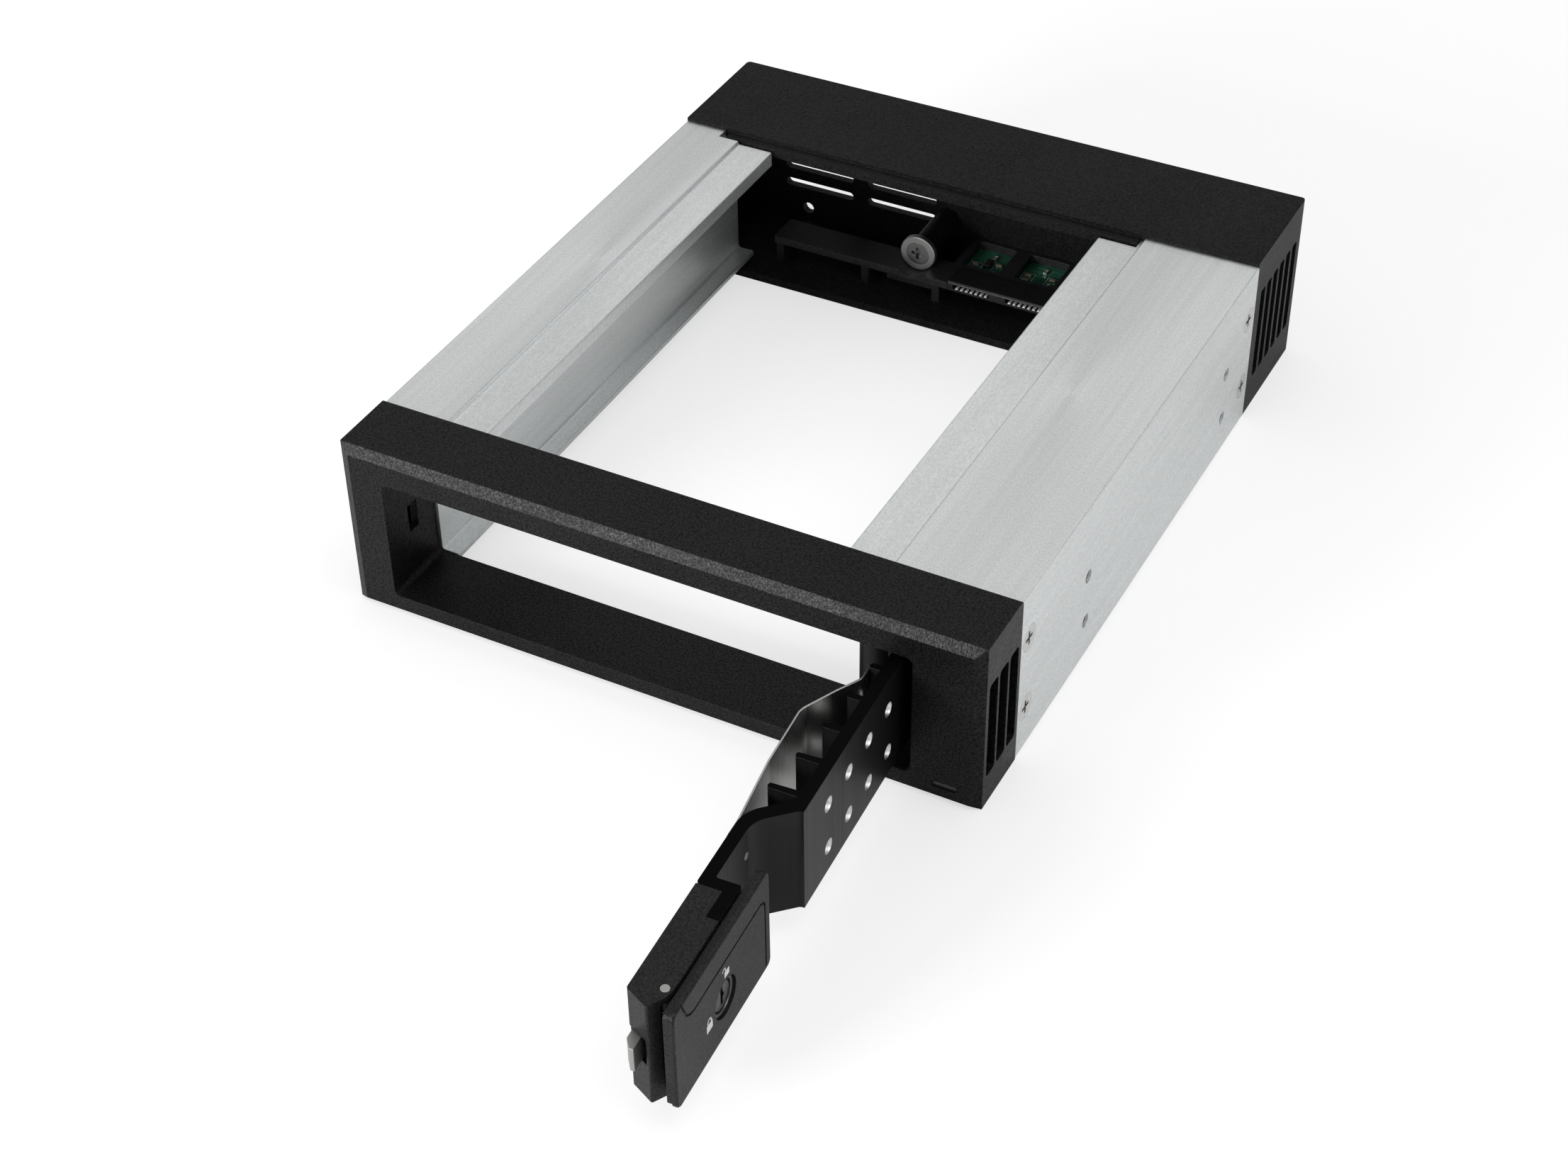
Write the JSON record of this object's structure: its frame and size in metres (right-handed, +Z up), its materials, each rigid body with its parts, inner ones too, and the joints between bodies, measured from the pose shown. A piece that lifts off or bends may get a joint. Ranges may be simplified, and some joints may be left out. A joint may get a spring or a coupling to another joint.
{
  "type": "hot swap drive cage",
  "caption": "Caddy-less cage that holds a 3.5 inch drive in a 5.25 inch bay, with a swing-out front door, spring latch and key lock.",
  "frame": {"origin": "middle of the front bezel's underside", "axes": "+X to the right seen from the front, +Y to the back of the cage, +Z up"},
  "size_m": [0.146, 0.2776, 0.0415],
  "materials": {
    "moulding_black": "fine texture",
    "clear_pipe": "clear",
    "board_green": "solder mask",
    "rail_aluminium": "brushed",
    "door_black": "black anodised",
    "spring_steel": "satin",
    "bright_steel": "plated",
    "contact_gold": "plated",
    "connector_black": "moulded",
    "nylon_white": "natural",
    "lock_dark": "dark plated"
  },
  "bodies": {
    "cage": {"front_bezel": "moulding_black", "led_light_pipe": "clear_pipe", "led_board": "board_green", "right_rail": "rail_aluminium", "left_rail": "rail_aluminium", "rear_cap": "moulding_black", "connector_shelf": "connector_black", "backplane_board": "board_green", "board_screws": "bright_steel", "drive_receptacle": "connector_black", "signal_contacts": "contact_gold", "power_contacts": "contact_gold", "rear_data_socket": "connector_black", "rear_power_socket": "connector_black", "rear_contacts": "contact_gold", "stop_washer": "bright_steel", "stop_screw": "bright_steel", "bezel_screws": "bright_steel", "cap_screws": "bright_steel", "lower_hinge_pin": "bright_steel", "upper_hinge_pin": "bright_steel", "hinge_bushes": "nylon_white"},
    "door": {"door_frame": "door_black", "leaf_spring": "spring_steel", "spring_rivets": "bright_steel", "latch_housing": "moulding_black", "housing_screws": "bright_steel", "bolt_retainer": "spring_steel", "retainer_screws": "bright_steel", "handle_pin": "bright_steel", "handle_spring": "spring_steel"},
    "handle": {"handle_cover": "moulding_black", "handle_lever": "moulding_black", "lock_sleeve": "lock_dark"},
    "latch": {"latch_bolt": "bright_steel"},
    "lock": {"lock_barrel": "lock_dark", "lock_cam": "bright_steel"}
  },
  "joints": [
    {"name": "door_hinge", "type": "hinge", "parent": "cage", "child": "door", "pos_m": [0.0457, 0.0015, 0.0195], "axis": [0, 0, 1], "range_deg": [-93, 0]},
    {"name": "handle_pivot", "type": "hinge", "parent": "door", "child": "handle", "pos_m": [0.05594, -0.1003, 0.0195], "axis": [0, 0, 1], "range_deg": [-20, 0], "stiffness_Nm_per_rad": 0.05, "springref_deg": 20.05},
    {"name": "bolt_slide", "type": "slide", "parent": "door", "child": "latch", "axis": [-0.0523, 0.9986, 0], "range_m": [0, 0.00137]},
    {"name": "lock_turn", "type": "hinge", "parent": "handle", "child": "lock", "pos_m": [0.0585, -0.08605, 0.0169], "axis": [0.9986, 0.0523, 0], "range_deg": [0, 90]}
  ],
  "couplings": [
    {"joint": "bolt_slide", "follows": "handle_pivot", "m_per_rad": -0.0039193}
  ]
}
